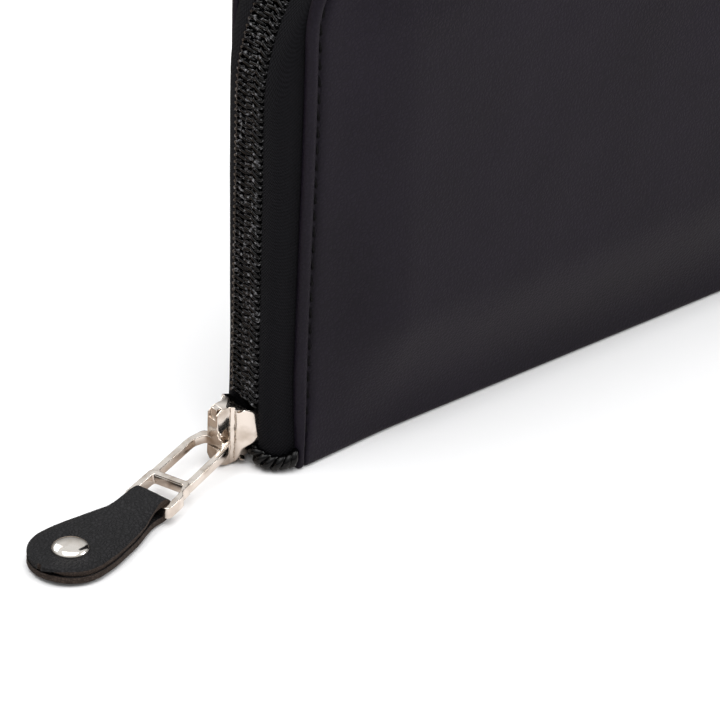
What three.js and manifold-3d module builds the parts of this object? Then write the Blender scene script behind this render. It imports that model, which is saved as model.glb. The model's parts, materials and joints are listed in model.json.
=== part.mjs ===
// Zip-around long wallet, closed and standing on its long spine.
// Millimetres. X runs along the spine, -Y is the front, +Z is up, and the origin is the
// centre of the spine's underside. Two covers hinge at the spine's edges, a zip chain runs
// round the other three sides, and a gusseted coin pocket stands in the middle.
import * as THREE from 'three';
import { mergeVertices } from 'three/addons/utils/BufferGeometryUtils.js';
import Module from 'manifold-3d';

const wasm = await Module();
wasm.setup();

// Driving dimensions
const length = 190;            // leather, end to end
const height = 88.5;           // leather, floor to top edge
const coverCorner = 17;        // radius of the covers' upper corners
const edgeLow = 7.75;          // half thickness at the rim, beside the spine
const edgeHigh = 9;            // half thickness at the rim, near the top
const bodyHalf = 11.7;         // half thickness over the flat middle of a cover
const crownRun = 19;           // width of the rounded border between rim and middle
const leatherThick = 1.4;
const foldRadius = 2.4;        // where the leather turns from spine to cover
const hingeHeight = 2.9;       // height of the fold line that a cover turns about
const layerGap = 0.3;          // air between neighbouring layers
const boardThick = 0.7;
const liningThick = 0.4;
const chainOut = 3.1;          // middle of the zip chain, beyond the leather edge
const chainCorner = 31;        // radius of the chain's middle line at the corners
const chainCornerStart = 59.5; // height where that corner begins
const coilWide = 2.95;         // one half of the chain
const coilThick = 2.4;
const tapeThick = 0.45;
const sliderHeight = 5;        // middle of the slider when the zip is shut
const sliderLong = 9.8;
const sliderSide = 0.3;        // the shut slider sits a little to the back
const straightTop = 52.5;      // the chain is back on the middle plane here
const pocketHalf = 2.2;        // half of the coin pocket's inner thickness
const pocketReach = 76;        // half of the coin pocket's length
const pocketTop = 67.9;

const coverTop = height - coverCorner;
const lean = -sliderSide / (straightTop - sliderHeight);
const chainX = length / 2 + chainOut;

const finishes = {
  leather: { color: 0x25222a, roughness: 0.6, metalness: 0 },
  lining: { color: 0x1b1a1f, roughness: 0.8, metalness: 0 },
  board: { color: 0x6d675d, roughness: 0.9, metalness: 0 },
  tape: { color: 0x0d0d0f, roughness: 0.9, metalness: 0 },
  coil: { color: 0x16161a, roughness: 0.35, metalness: 0 },
  nickel: { color: 0xc9c5bd, roughness: 0.2, metalness: 1 },
};

const wallet = new THREE.Group();

function add(name, finish, geometry, parent = wallet) {
  const mesh = new THREE.Mesh(geometry, new THREE.MeshStandardMaterial(finishes[finish]));
  mesh.name = name;
  parent.add(mesh);
  return mesh;
}

// Shape helpers

function smooth(t) {
  const s = Math.min(Math.max(t, 0), 1);
  return s * s * (3 - 2 * s);
}

function mix(a, b, t) {
  return a + (b - a) * t;
}

// Reads a list of grid positions at a fraction of its length.
function along(stops, t) {
  const place = t * (stops.length - 1);
  const index = Math.min(Math.floor(place + 1e-6), stops.length - 2);
  return mix(stops[index], stops[index + 1], place - index);
}

function signedVolume(geometry) {
  const index = geometry.index;
  const corners = [0, 1, 2].map(() => new THREE.Vector3());
  let volume = 0;
  for (let i = 0; i < index.count; i += 3) {
    corners.forEach((corner, k) => {
      corner.fromBufferAttribute(geometry.attributes.position, index.getX(i + k));
    });
    volume += corners[0].dot(corners[1].cross(corners[2])) / 6;
  }
  return volume;
}

// A box cut into a grid, with each grid point moved to place(u, v, w), all from 0 to 1.
function warpedBox(columns, layers, rows, place) {
  const geometry = new THREE.BoxGeometry(1, 1, 1, columns, layers, rows);
  const points = geometry.attributes.position;
  for (let i = 0; i < points.count; i++) {
    const u = points.getX(i) + 0.5;
    const v = points.getY(i) + 0.5;
    const w = points.getZ(i) + 0.5;
    points.setXYZ(i, ...place(u, v, w));
  }
  if (signedVolume(geometry) < 0) {
    const index = geometry.index;
    for (let i = 0; i < index.count; i += 3) {
      const first = index.getX(i);
      index.setX(i, index.getX(i + 2));
      index.setX(i + 2, first);
    }
  }
  return geometry;
}

function block(low, high) {
  return warpedBox(1, 1, 1, (u, v, w) => [
    mix(low[0], high[0], u), mix(low[1], high[1], v), mix(low[2], high[2], w),
  ]);
}

// A block on the front (-1) or back (1) side, with y given as distances from the middle.
function sideBlock(side, [lowX, highX], [nearY, farY], [lowZ, highZ]) {
  const lowY = side > 0 ? nearY : -farY;
  return block([lowX, lowY, lowZ], [highX, lowY + farY - nearY, highZ]);
}

function toSolid(geometry) {
  const bare = geometry.clone();
  bare.deleteAttribute('normal');
  bare.deleteAttribute('uv');
  const merged = mergeVertices(bare, 1e-4);
  return new wasm.Manifold(new wasm.Mesh({
    numProp: 3,
    vertProperties: new Float32Array(merged.attributes.position.array),
    triVerts: new Uint32Array(merged.index.array),
  }));
}

function fromSolid(solid) {
  const mesh = solid.getMesh();
  const geometry = new THREE.BufferGeometry();
  geometry.setAttribute('position', new THREE.BufferAttribute(mesh.vertProperties, 3));
  geometry.setIndex(new THREE.BufferAttribute(mesh.triVerts, 1));
  return geometry;
}

function joined(...geometries) {
  return fromSolid(geometries.map(toSolid).reduce((all, next) => all.add(next)));
}

// Extrudes a shape drawn in (x, z) across Y, centred on y = 0.
function acrossY(shape, width, curveSegments = 6) {
  const geometry = new THREE.ExtrudeGeometry(shape, { depth: width, bevelEnabled: false, curveSegments });
  return geometry.rotateX(Math.PI / 2).translate(0, width / 2, 0);
}

// Extrudes a shape drawn in (y, z) along X, from x = low to x = high.
function alongX(shape, low, high, curveSegments = 6) {
  const geometry = new THREE.ExtrudeGeometry(shape, {
    depth: high - low, bevelEnabled: false, curveSegments,
  });
  const turn = new THREE.Matrix4().set(0, 0, 1, low, 1, 0, 0, 0, 0, 1, 0, 0, 0, 0, 0, 1);
  return geometry.applyMatrix4(turn);
}

// Extrudes a shape drawn in (x, y) upwards, from z = low to z = high.
function upZ(shape, low, high, curveSegments = 8) {
  const geometry = new THREE.ExtrudeGeometry(shape, {
    depth: high - low, bevelEnabled: false, curveSegments,
  });
  return geometry.translate(0, 0, low);
}

function polygon(points) {
  return new THREE.Shape(points.map(([x, y]) => new THREE.Vector2(x, y)));
}

// The wallet's form

function rimHalf(z) {
  return mix(edgeLow, edgeHigh, smooth((z - 8) / 62));
}

function coverReach(z, inset = 0) {
  const radius = coverCorner - inset;
  const rise = Math.min(Math.max(z - coverTop, 0), radius);
  return length / 2 - coverCorner + Math.sqrt(radius * radius - rise * rise);
}

// Half thickness of the closed wallet at a point of a cover.
function coverHalf(x, z) {
  const side = smooth((coverReach(z) - Math.abs(x)) / crownRun);
  const top = smooth((height - z) / crownRun);
  const base = smooth((z - hingeHeight) / crownRun);
  return mix(rimHalf(z), bodyHalf, side * top * base);
}

// Covers

const columnStops = [-1, -0.95, -0.9, -0.85, -0.79, 0, 0.79, 0.85, 0.9, 0.95, 1];
const rowStops = [0, 0.055, 0.11, 0.165, 0.22, 0.77, 0.82, 0.87, 0.915, 0.955, 0.985, 1];

// One layer of a cover: side is -1 at the front and 1 at the back; depth runs inwards.
function coverLayer(side, low, inset, depth, thick) {
  return warpedBox(columnStops.length - 1, 1, rowStops.length - 1, (u, v, w) => {
    const z = mix(low, height - inset, along(rowStops, w));
    const x = along(columnStops, u) * coverReach(z, inset);
    return [x, side * (coverHalf(x, z) - depth - thick * v), z];
  });
}

const boardDepth = leatherThick + layerGap;
const liningDepth = boardDepth + boardThick + layerGap;
const pocketDepth = liningDepth + liningThick + layerGap;
const cardRow = { count: 4, first: 14, pitch: 12, tall: 11.6, reach: 82, thick: 0.5, open: 0.8 };

// A card pocket's wall leans away from the cover towards its open top edge.
function cardPocket(side, row) {
  const low = cardRow.first + row * cardRow.pitch;
  const stops = columnStops.map((stop) => stop * cardRow.reach);
  return warpedBox(stops.length - 1, 1, 2, (u, v, w) => {
    const x = along(stops, u);
    const z = low + cardRow.tall * w;
    const depth = pocketDepth + cardRow.open * w + cardRow.thick * v;
    return [x, side * (coverHalf(x, z) - depth), z];
  });
}

function addCover(name, side) {
  const low = hingeHeight + layerGap;
  add(`${name}_leather`, 'leather', coverLayer(side, low, 0, 0, leatherThick));
  add(`${name}_board`, 'board', coverLayer(side, low + 0.6, 4, boardDepth, boardThick));
  add(`${name}_lining`, 'lining', coverLayer(side, low + 0.6, 4, liningDepth, liningThick));
  for (let row = 0; row < cardRow.count; row++) {
    add(`${name}_card_pocket_${row + 1}`, 'lining', cardPocket(side, row));
  }
}

// Zip tapes and coils, round the left side, the top and the right side

const sideSteps = 6;
const cornerSteps = 8;
const topSteps = 4;

// One upper corner's arc as [x, z, outward x, outward z] at an angle from level to upright.
function cornerPoint(radius, centreX, centreZ, angle, hand) {
  const level = hand * Math.cos(angle);
  const up = Math.sin(angle);
  return [hand * centreX + radius * level, centreZ + radius * up, level, up];
}

// Stations of a line round the open sides, from low on the left to low on the right.
function roundLine(low, reach, radius, centreZ) {
  const centreX = reach - radius;
  const leftSide = [];
  for (let i = 0; i < sideSteps; i++) {
    leftSide.push([-reach, mix(low, centreZ, i / sideSteps), -1, 0]);
  }
  for (let i = 0; i < cornerSteps; i++) {
    const angle = (Math.PI / 2) * (i / cornerSteps);
    leftSide.push(cornerPoint(radius, centreX, centreZ, angle, -1));
  }
  const line = [...leftSide];
  for (let i = 0; i <= topSteps; i++) {
    line.push([mix(-centreX, centreX, i / topSteps), centreZ + radius, 0, 1]);
  }
  const rightSide = leftSide.map(([x, z, outX, outZ]) => [-x, z, -outX, outZ]);
  return [...line, ...rightSide.reverse()];
}

// How far the chain's middle stands from the middle plane, only on the slider's side.
function chainSide(x, z) {
  if (x > 0 || z > straightTop) {
    return 0;
  }
  return sliderSide + lean * (z - sliderHeight);
}

// Distance that the two halves part by, inside and below the shut slider.
function parting(x, z) {
  return x > 0 ? 0 : 1.7 * (1 - smooth((z - 4.5) / 6));
}

function zipTape(side) {
  const leather = roundLine(2.6, length / 2, coverCorner, coverTop);
  const chain = roundLine(2.6, chainX, chainCorner, chainCornerStart);
  const inset = 1.6;
  const under = coilThick / 2 + layerGap;
  return warpedBox(leather.length - 1, 1, 3, (u, v, w) => {
    const station = Math.round(u * (leather.length - 1));
    const [edgeX, edgeZ, edgeOutX, edgeOutZ] = leather[station];
    const [lineX, lineZ, outX, outZ] = chain[station];
    const rim = rimHalf(edgeZ) - leatherThick - 0.35;
    const middle = chainSide(lineX, lineZ) * side;
    const gap = parting(lineX, lineZ);
    const across = [rim, mix(rim, middle + 3.3 + gap / 2, 0.45), middle + 3.3 + gap / 2, middle + 0.3 + gap];
    const step = Math.round(w * 3);
    const share = [0, 0.45, 1, 1][step];
    const swell = [0, 0.7, 0, 0][step] - tapeThick * v;
    const x = mix(edgeX - inset * edgeOutX, lineX - under * outX, share) + swell * outX;
    const z = mix(edgeZ - inset * edgeOutZ, lineZ - under * outZ, share) + swell * outZ;
    return [x, side * across[step], z];
  });
}

function zipCoil(side) {
  const line = roundLine(sliderHeight + sliderLong / 2 + layerGap, chainX, chainCorner, chainCornerStart);
  return warpedBox(line.length - 1, 1, 1, (u, v, w) => {
    const [x, z, outX, outZ] = line[Math.round(u * (line.length - 1))];
    const out = coilThick * (v - 0.5);
    const across = side * chainSide(x, z) + 0.15 + (coilWide - 0.15) * w;
    return [x + out * outX, side * across, z + out * outZ];
  });
}

function addZip() {
  add('front_zip_tape', 'tape', zipTape(-1));
  add('back_zip_tape', 'tape', zipTape(1));
  add('front_zip_coil', 'coil', zipCoil(-1));
  add('back_zip_coil', 'coil', zipCoil(1));
  const stopLow = sliderHeight + sliderLong / 2 - 3.2;
  add('zip_end_stop', 'nickel', block([chainX - 0.9, -2.2, stopLow], [chainX + 1.3, 2.2, stopLow + 3]));
}

// Spine

function addSpine() {
  const inner = edgeLow - leatherThick;
  const bend = foldRadius - leatherThick;
  const section = new THREE.Shape();
  section.moveTo(-edgeLow, hingeHeight);
  section.lineTo(-edgeLow, foldRadius);
  section.absarc(-edgeLow + foldRadius, foldRadius, foldRadius, Math.PI, 1.5 * Math.PI, false);
  section.lineTo(edgeLow - foldRadius, 0);
  section.absarc(edgeLow - foldRadius, foldRadius, foldRadius, -Math.PI / 2, 0, false);
  section.lineTo(edgeLow, hingeHeight);
  section.lineTo(inner, hingeHeight);
  section.absarc(inner - bend, foldRadius, bend, 0, -Math.PI / 2, true);
  section.lineTo(-inner + bend, leatherThick);
  section.absarc(-inner + bend, foldRadius, bend, -Math.PI / 2, -Math.PI, true);
  section.lineTo(-inner, hingeHeight);
  add('spine_leather', 'leather', alongX(section, -length / 2, length / 2, 5));
  const reach = length / 2 - 4;
  const boardLow = leatherThick + layerGap;
  const liningLow = boardLow + boardThick + layerGap;
  add('spine_board', 'board', block([-reach, -4.2, boardLow], [reach, 4.2, boardLow + boardThick]));
  add('spine_lining', 'lining', block([-reach, -4.2, liningLow], [reach, 4.2, liningLow + liningThick]));
}

// Gussets: each quarter is one inward fold from a cover's lining to the middle

function gusset(hand, side) {
  const thick = 0.4;
  return warpedBox(2, 1, 4, (u, v, w) => {
    const z = mix(4.2, 66, w);
    const coverY = coverHalf(88.5, z) - pocketDepth - thick - 0.1;
    const step = Math.round(u * 2);
    const x = [88.5, 80.5, 88][step] - [0, 0.45, 0][step] * v;
    const y = [coverY, (coverY + 0.9) / 2, 0.9][step] + [thick, 0, -thick][step] * v;
    return [hand * x, side * y, z];
  });
}

function addGussets() {
  for (const [handName, hand] of [['left', -1], ['right', 1]]) {
    for (const [sideName, side] of [['front', -1], ['back', 1]]) {
      add(`gusset_${handName}_${sideName}`, 'lining', gusset(hand, side));
    }
  }
}

// Coin pocket with its own small zip

const coinSlider = { x: 62, long: 8, low: 66.9, plateTop: 71.4, pinHeight: 72.6 };
const coinCoilLow = 68.5;
const coinCoilTop = 70;
const pocketLow = 3.5;

function pocketEdge() {
  const half = pocketHalf - layerGap;
  const rim = 2;
  const outside = polygon([
    [-pocketReach, pocketTop], [-pocketReach, pocketLow], [pocketReach, pocketLow], [pocketReach, pocketTop],
    [pocketReach - rim, pocketTop], [pocketReach - rim, pocketLow + rim],
    [-pocketReach + rim, pocketLow + rim], [-pocketReach + rim, pocketTop],
  ]);
  return acrossY(outside, 2 * half);
}

function coinSliderBody() {
  const { x, long, low, plateTop } = coinSlider;
  const plate = block([x - long / 2, -2.6, plateTop - 1], [x + long / 2, 2.6, plateTop]);
  const tongue = block([x - long / 2, -1.1, low], [x + long / 2, 1.1, low + 1]);
  const post = block([x - 1, -0.8, low + 0.5], [x + 3, 0.8, plateTop - 0.5]);
  const arch = polygon([
    [x - 2.2, plateTop - 0.5], [x + 2.2, plateTop - 0.5], [x + 2.2, 73.7], [x + 1.7, 74.2],
    [x - 1.7, 74.2], [x - 2.2, 73.7],
  ]);
  arch.holes.push(polygon([[x - 1.2, 71.7], [x - 1.2, 73.5], [x + 1.2, 73.5], [x + 1.2, 71.7]]));
  return joined(plate, tongue, post, acrossY(arch, 2));
}

function coinPull() {
  const { x, pinHeight } = coinSlider;
  const tab = new THREE.Shape();
  tab.moveTo(x + 0.4, -2.4);
  tab.lineTo(x + 0.4, 2.4);
  tab.lineTo(x - 10.6, 2.4);
  tab.absarc(x - 10.6, 0, 2.4, Math.PI / 2, 1.5 * Math.PI, false);
  tab.holes.push(polygon([[x - 0.4, -1.4], [x - 4.6, -1.4], [x - 4.6, 1.4], [x - 0.4, 1.4]]));
  return upZ(tab, pinHeight - 0.4, pinHeight + 0.4);
}

function addCoinPocket() {
  const coilEnd = coinSlider.x - 4.3;
  for (const [sideName, side] of [['front', -1], ['back', 1]]) {
    const wall = sideBlock(side, [-pocketReach, pocketReach], [pocketHalf, pocketHalf + 0.4], [pocketLow, pocketTop]);
    const tape = sideBlock(side, [-70, 70], [1.4, 1.8], [60, coinCoilLow - 0.3]);
    const coil = sideBlock(side, [-70, coilEnd], [0.15, 2], [coinCoilLow, coinCoilTop]);
    add(`coin_${sideName}_wall`, 'lining', wall);
    add(`coin_${sideName}_zip_tape`, 'tape', tape);
    add(`coin_${sideName}_zip_coil`, 'coil', coil);
  }
  add('coin_pocket_edge', 'lining', pocketEdge());
  add('coin_stop_left', 'nickel', block([-72, -2, coinCoilLow], [-70.3, 2, coinCoilTop + 0.3]));
  add('coin_stop_right', 'nickel', block([68, -2, coinCoilLow], [69.7, 2, coinCoilTop + 0.3]));
  add('coin_slider_body', 'nickel', coinSliderBody());
  add('coin_pull', 'nickel', coinPull());
}

// Main slider, drawn about its own middle: -X points out of the wallet, +Z up the chain

const crown = { low: 3.4, top: 7.2, half: 1.2, reach: 4.4 };

function sliderBody() {
  const half = sliderLong / 2;
  const face = polygon([
    [-3.6, half], [3.6, half], [3.8, 1.5], [4.1, -1], [3.8, -2.2], [2.6, -half], [-2.6, -half],
    [-3.8, -2.2], [-4.1, -1], [-3.8, 1.5],
  ]);
  const outer = alongX(face, -3.1, -1.7);
  const inner = block([2.2, -3, -half], [2.85, 3, half]);
  const web = block([-2.4, -0.9, -half + 0.3], [2.5, 0.9, -1.2]);
  const flanges = [-1, 1].map((hand) => {
    const low = Math.min(3.4 * hand, 4.1 * hand);
    return block([-2.4, low, -3], [0.9, low + 0.7, half - 1.6]);
  });
  return joined(outer, inner, web, ...flanges);
}

function sliderCrown() {
  const { low, top, reach } = crown;
  const arch = polygon([
    [-low, -reach], [-top + 1.6, -reach], [-top, -reach + 1.2], [-top, reach - 1.2],
    [-top + 1.6, reach], [-low, reach],
  ]);
  arch.holes.push(polygon([[-4, -2.2], [-4, 1.6], [-6.65, 1.6], [-6.65, -2.2]]));
  return acrossY(arch, 2 * crown.half);
}

function addSlider() {
  const slider = new THREE.Group();
  slider.position.set(-chainX, sliderSide, sliderHeight);
  slider.rotation.x = -Math.atan(lean);
  wallet.add(slider);
  add('slider_body', 'nickel', sliderBody(), slider);
  add('slider_crown', 'nickel', sliderCrown(), slider);
}

// Pull ring and leather strap, each drawn with its hinge at the origin, pointing along -X

const ring = {
  x: -103.84, y: sliderSide, z: 4.43, slope: 6.9, yaw: 16.8, thick: 1, bar: 17.83, crossBar: 11.9,
};
const strap = { yaw: 10.4, side: -0.35, thickLow: -1.6, thickTop: 0.5, neck: 2.5, rivet: 16.95, round: 6.2, loop: 1.95 };

function pullRing() {
  const { bar, crossBar, thick } = ring;
  const outline = polygon([
    [0.5, -2.4], [0.5, 2.4], [-2, 3.5], [-bar - 0.65, 3.7], [-bar - 0.65, -4.4], [-14.4, -4.4], [-13.8, -3.5],
    [-2, -3.5],
  ]);
  const nearWindow = [
    [-0.5, -1.5], [-1.6, -2.4], [-crossBar + 0.6, -2.4], [-crossBar + 0.6, 2.4], [-1.6, 2.4], [-0.5, 1.5],
  ];
  const farWindow = [
    [-crossBar - 0.6, -2.9], [-14.6, -3.4], [-bar + 0.5, -3.4], [-bar + 0.5, 2.75], [-crossBar - 0.6, 2.75],
  ];
  outline.holes.push(polygon(nearWindow), polygon(farWindow));
  return upZ(outline, -thick / 2, thick / 2);
}

// Seen from the side: a loop round the ring's end bar, closing into a doubled flat strap.
function strapProfile() {
  const { loop, thickLow, thickTop, rivet, round } = strap;
  const profile = new THREE.Shape();
  const start = Math.asin(thickLow / loop);
  profile.absarc(0, 0, loop, start, Math.PI - 1.1, false);
  profile.lineTo(-5, thickTop);
  profile.lineTo(-rivet - round, thickTop);
  profile.lineTo(-rivet - round, thickLow);
  profile.lineTo(-1.5, thickLow);
  profile.absarc(0, 0, loop, -Math.PI / 2 - 0.7, start, false);
  const eye = new THREE.Path();
  eye.absarc(0, 0, 1.1, 0, 2 * Math.PI, true);
  profile.holes.push(eye);
  return acrossY(profile, 2 * round + 1, 8);
}

function strapPlan() {
  const { loop, neck, rivet, round } = strap;
  const plan = new THREE.Shape();
  plan.moveTo(loop + 0.5, -neck);
  plan.lineTo(loop + 0.5, neck);
  plan.lineTo(-3, neck);
  plan.absarc(-rivet, 0, round, Math.PI / 2 - 0.22, 1.5 * Math.PI + 0.22, false);
  plan.lineTo(-3, -neck);
  return upZ(plan, -4, 4, 16);
}

function strapLeather() {
  const hole = new THREE.CylinderGeometry(1.3, 1.3, 8, 16).rotateX(Math.PI / 2).translate(-strap.rivet, 0, 0);
  const body = toSolid(strapProfile()).intersect(toSolid(strapPlan()));
  return fromSolid(body.subtract(toSolid(hole)));
}

function turned(points) {
  const profile = points.map(([radius, level]) => new THREE.Vector2(radius, level));
  return new THREE.LatheGeometry(profile, 18).rotateX(Math.PI / 2).translate(-strap.rivet, 0, 0);
}

function addPull() {
  const turnDown = THREE.MathUtils.degToRad(ring.slope);
  const ringYaw = THREE.MathUtils.degToRad(ring.yaw);
  const holder = new THREE.Group();
  holder.position.set(ring.x, ring.y, ring.z);
  holder.rotation.set(0, -turnDown, ringYaw, 'ZYX');
  wallet.add(holder);
  add('pull_ring', 'nickel', pullRing(), holder);
  const run = ring.bar * Math.cos(turnDown);
  const tab = new THREE.Group();
  tab.position.set(
    ring.x - run * Math.cos(ringYaw) - strap.side * Math.sin(ringYaw),
    ring.y - run * Math.sin(ringYaw) + strap.side * Math.cos(ringYaw),
    ring.z - ring.bar * Math.sin(turnDown),
  );
  tab.rotation.z = THREE.MathUtils.degToRad(strap.yaw);
  wallet.add(tab);
  add('strap_leather', 'leather', strapLeather(), tab);
  const capLow = strap.thickTop + layerGap;
  const dome = [[0, capLow], [2.6, capLow], [2.8, capLow + 0.4], [2.3, capLow + 1], [1.3, capLow + 1.4], [0, capLow + 1.5]];
  const flange = [[0, -2.2], [2.4, -2.2], [2.4, -1.9], [1, -1.9], [1, strap.thickTop], [0, strap.thickTop]];
  add('rivet_cap', 'nickel', turned(dome), tab);
  add('rivet_post', 'nickel', turned(flange), tab);
}

addSpine();
addCover('front', -1);
addCover('back', 1);
addZip();
addGussets();
addCoinPocket();
addSlider();
addPull();

export default wallet;
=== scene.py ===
import json
import math

import bmesh
import bpy
from mathutils import Matrix, Vector, noise


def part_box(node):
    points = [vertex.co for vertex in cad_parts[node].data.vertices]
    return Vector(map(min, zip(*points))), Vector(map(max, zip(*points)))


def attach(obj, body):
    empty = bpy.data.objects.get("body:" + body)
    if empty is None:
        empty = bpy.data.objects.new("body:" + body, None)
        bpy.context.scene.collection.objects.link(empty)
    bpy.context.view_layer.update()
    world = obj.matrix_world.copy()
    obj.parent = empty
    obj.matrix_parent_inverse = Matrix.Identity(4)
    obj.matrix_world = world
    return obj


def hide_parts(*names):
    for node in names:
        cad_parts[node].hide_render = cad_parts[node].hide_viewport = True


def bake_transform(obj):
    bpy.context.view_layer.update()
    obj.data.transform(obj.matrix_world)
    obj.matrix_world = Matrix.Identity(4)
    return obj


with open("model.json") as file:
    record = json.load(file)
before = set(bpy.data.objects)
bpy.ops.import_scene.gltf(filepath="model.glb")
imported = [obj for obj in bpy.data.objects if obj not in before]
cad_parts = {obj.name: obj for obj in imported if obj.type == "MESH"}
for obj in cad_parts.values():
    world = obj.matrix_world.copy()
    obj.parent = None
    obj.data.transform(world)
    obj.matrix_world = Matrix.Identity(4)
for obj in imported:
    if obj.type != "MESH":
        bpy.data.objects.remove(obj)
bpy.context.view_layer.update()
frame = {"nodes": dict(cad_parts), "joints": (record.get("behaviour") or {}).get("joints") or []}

mm = 0.001
scene = bpy.context.scene

# The wallet's form, shared by every layer; the rest comes from the frame
form = dict(
    corner=17 * mm,          # covers' upper corners
    edgeHigh=9 * mm,         # half thickness at the rim, near the top
    crownRun=19 * mm,        # rounded border of a cover
    leather=1.4 * mm,
    fold=1.0 * mm,           # turn from spine to cover
    flare=0.11,              # how much wider the foot grows towards its ends
    chainOut=3.1 * mm,       # middle of the zip chain, beyond the leather
    chainCorner=31 * mm,
    chainCornerStart=59.5 * mm,
    straightTop=52.5 * mm,
)

coverLow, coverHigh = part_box("front_leather")
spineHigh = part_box("spine_leather")[1]
halfLong = coverHigh.x
tall = coverHigh.z
bodyHalf = -coverLow.y
edgeLow = spineHigh.y
hingeHeight = spineHigh.z
coverTop = tall - form["corner"]
jointPlace = {j["name"]: j for j in frame["joints"]}
sliderLow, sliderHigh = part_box("slider_body")
sliderMiddle = (sliderLow + sliderHigh) / 2
sliderMiddle.x = -halfLong - form["chainOut"]
slideAxis = Vector(jointPlace["zip_slide"]["axis"])


def smooth(t):
    s = min(max(t, 0), 1)
    return s * s * (3 - 2 * s)


def mix(a, b, t):
    return a + (b - a) * t


def lerpList(stops, t):
    place = min(max(t, 0), 1) * (len(stops) - 1)
    index = min(int(place), len(stops) - 2)
    return mix(stops[index], stops[index + 1], place - index)


def rimHalf(z):
    return mix(edgeLow, form["edgeHigh"], smooth((z - 8 * mm) / (62 * mm)))


def coverReach(z, inset=0):
    radius = form["corner"] - inset
    rise = min(max(z - coverTop, 0), radius)
    return halfLong - form["corner"] + math.sqrt(radius * radius - rise * rise)


def coverHalf(x, z):
    side = smooth((coverReach(min(z, tall)) - abs(x)) / form["crownRun"])
    top = smooth((tall - z) / form["crownRun"])
    base = smooth((z - hingeHeight) / form["crownRun"])
    return mix(rimHalf(z), bodyHalf, side * top * base)


def flare(x, z):
    return 1 + form["flare"] * smooth((abs(x) - halfLong + 20 * mm) / (20 * mm)) * (1 - smooth(z / (15 * mm)))


# Helpers for nodes and objects
def addNode(tree, kind, inputs=None, **settings):
    # each input takes a plain value or another node's output
    node = tree.nodes.new("ShaderNode" + kind)
    for key, value in settings.items():
        setattr(node, key, value)
    for slot, value in (inputs or {}).items():
        if isinstance(value, bpy.types.NodeSocket):
            tree.links.new(value, node.inputs[slot])
        else:
            node.inputs[slot].default_value = value
    return node


def newObject(name, data):
    thing = bpy.data.objects.new(name, data)
    scene.collection.objects.link(thing)
    return thing


# Stage: pale floor, soft light, camera
cameraSet = dict(
    azimuth=40.56, elevation=30.32, roll=1.5, lens=255.1,
    place=(-0.50974, -0.50636, 0.39831),
)
lightSet = dict(
    key=dict(place=(-0.35, -0.25, 1.45), size=(1.5, 1.2), power=15),
    front=dict(place=(0.95, -1.0, 0.8), size=(0.7, 0.5), power=7),
    back=dict(place=(-0.3, 1.3, 1.0), size=(1.2, 0.7), power=5),
    sky=0.85, horizon=0.06, skyRise=0.55,
    floor=(0.93, 0.93, 0.935),
    # colours the floor shows only to glossy rays: painted reflections for the polished metal, dark brown
    # behind the part
    paintedReflectionFront=(0.86, 0.82, 0.80),
    paintedReflectionBack=(0.34, 0.275, 0.225),
    paintedReflectionSpan=(-7.5 * mm, 1.5 * mm),
)


def makeCamera():
    az, el, roll = (math.radians(cameraSet[k]) for k in ("azimuth", "elevation", "roll"))
    ahead = Vector((math.sin(az) * math.cos(el), math.cos(az) * math.cos(el), -math.sin(el)))
    level = Vector((math.cos(az), -math.sin(az), 0))
    up = level.cross(ahead)
    right = level * math.cos(roll) + up * math.sin(roll)
    up = up * math.cos(roll) - level * math.sin(roll)
    data = bpy.data.cameras.new("camera")
    data.lens = cameraSet["lens"]
    data.sensor_width = 36
    data.clip_start = 0.01
    data.clip_end = 50
    camera = newObject("camera", data)
    turn = Matrix((right, up, -ahead)).transposed().to_4x4()
    camera.matrix_world = Matrix.Translation(cameraSet["place"]) @ turn
    scene.camera = camera


def makeLight(name, place, size, power):
    data = bpy.data.lights.new(name, "AREA")
    data.shape = "RECTANGLE"
    data.size, data.size_y = size
    data.energy = power
    lamp = newObject(name, data)
    lamp.location = place
    lamp.rotation_euler = (Vector((-0.08, 0, 0.03)) - Vector(place)).to_track_quat("-Z", "Y").to_euler()


def makeWorld():
    world = bpy.data.worlds.new("studio")
    scene.world = world
    world.use_nodes = True
    tree = world.node_tree
    tree.nodes.clear()
    coord = addNode(tree, "TexCoord")
    split = addNode(tree, "SeparateXYZ", {0: coord.outputs["Generated"]})
    ramp = addNode(tree, "MapRange", {
        "Value": split.outputs["Z"], "From Min": 0.0, "From Max": lightSet["skyRise"],
        "To Min": lightSet["horizon"], "To Max": lightSet["sky"],
    })
    gray = ramp.outputs["Result"]
    gather = addNode(tree, "CombineColor", {"Red": gray, "Green": gray, "Blue": gray})
    soft = addNode(tree, "Background", {"Color": gather.outputs["Color"]})
    addNode(tree, "OutputWorld", {"Surface": soft.outputs[0]})


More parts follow.
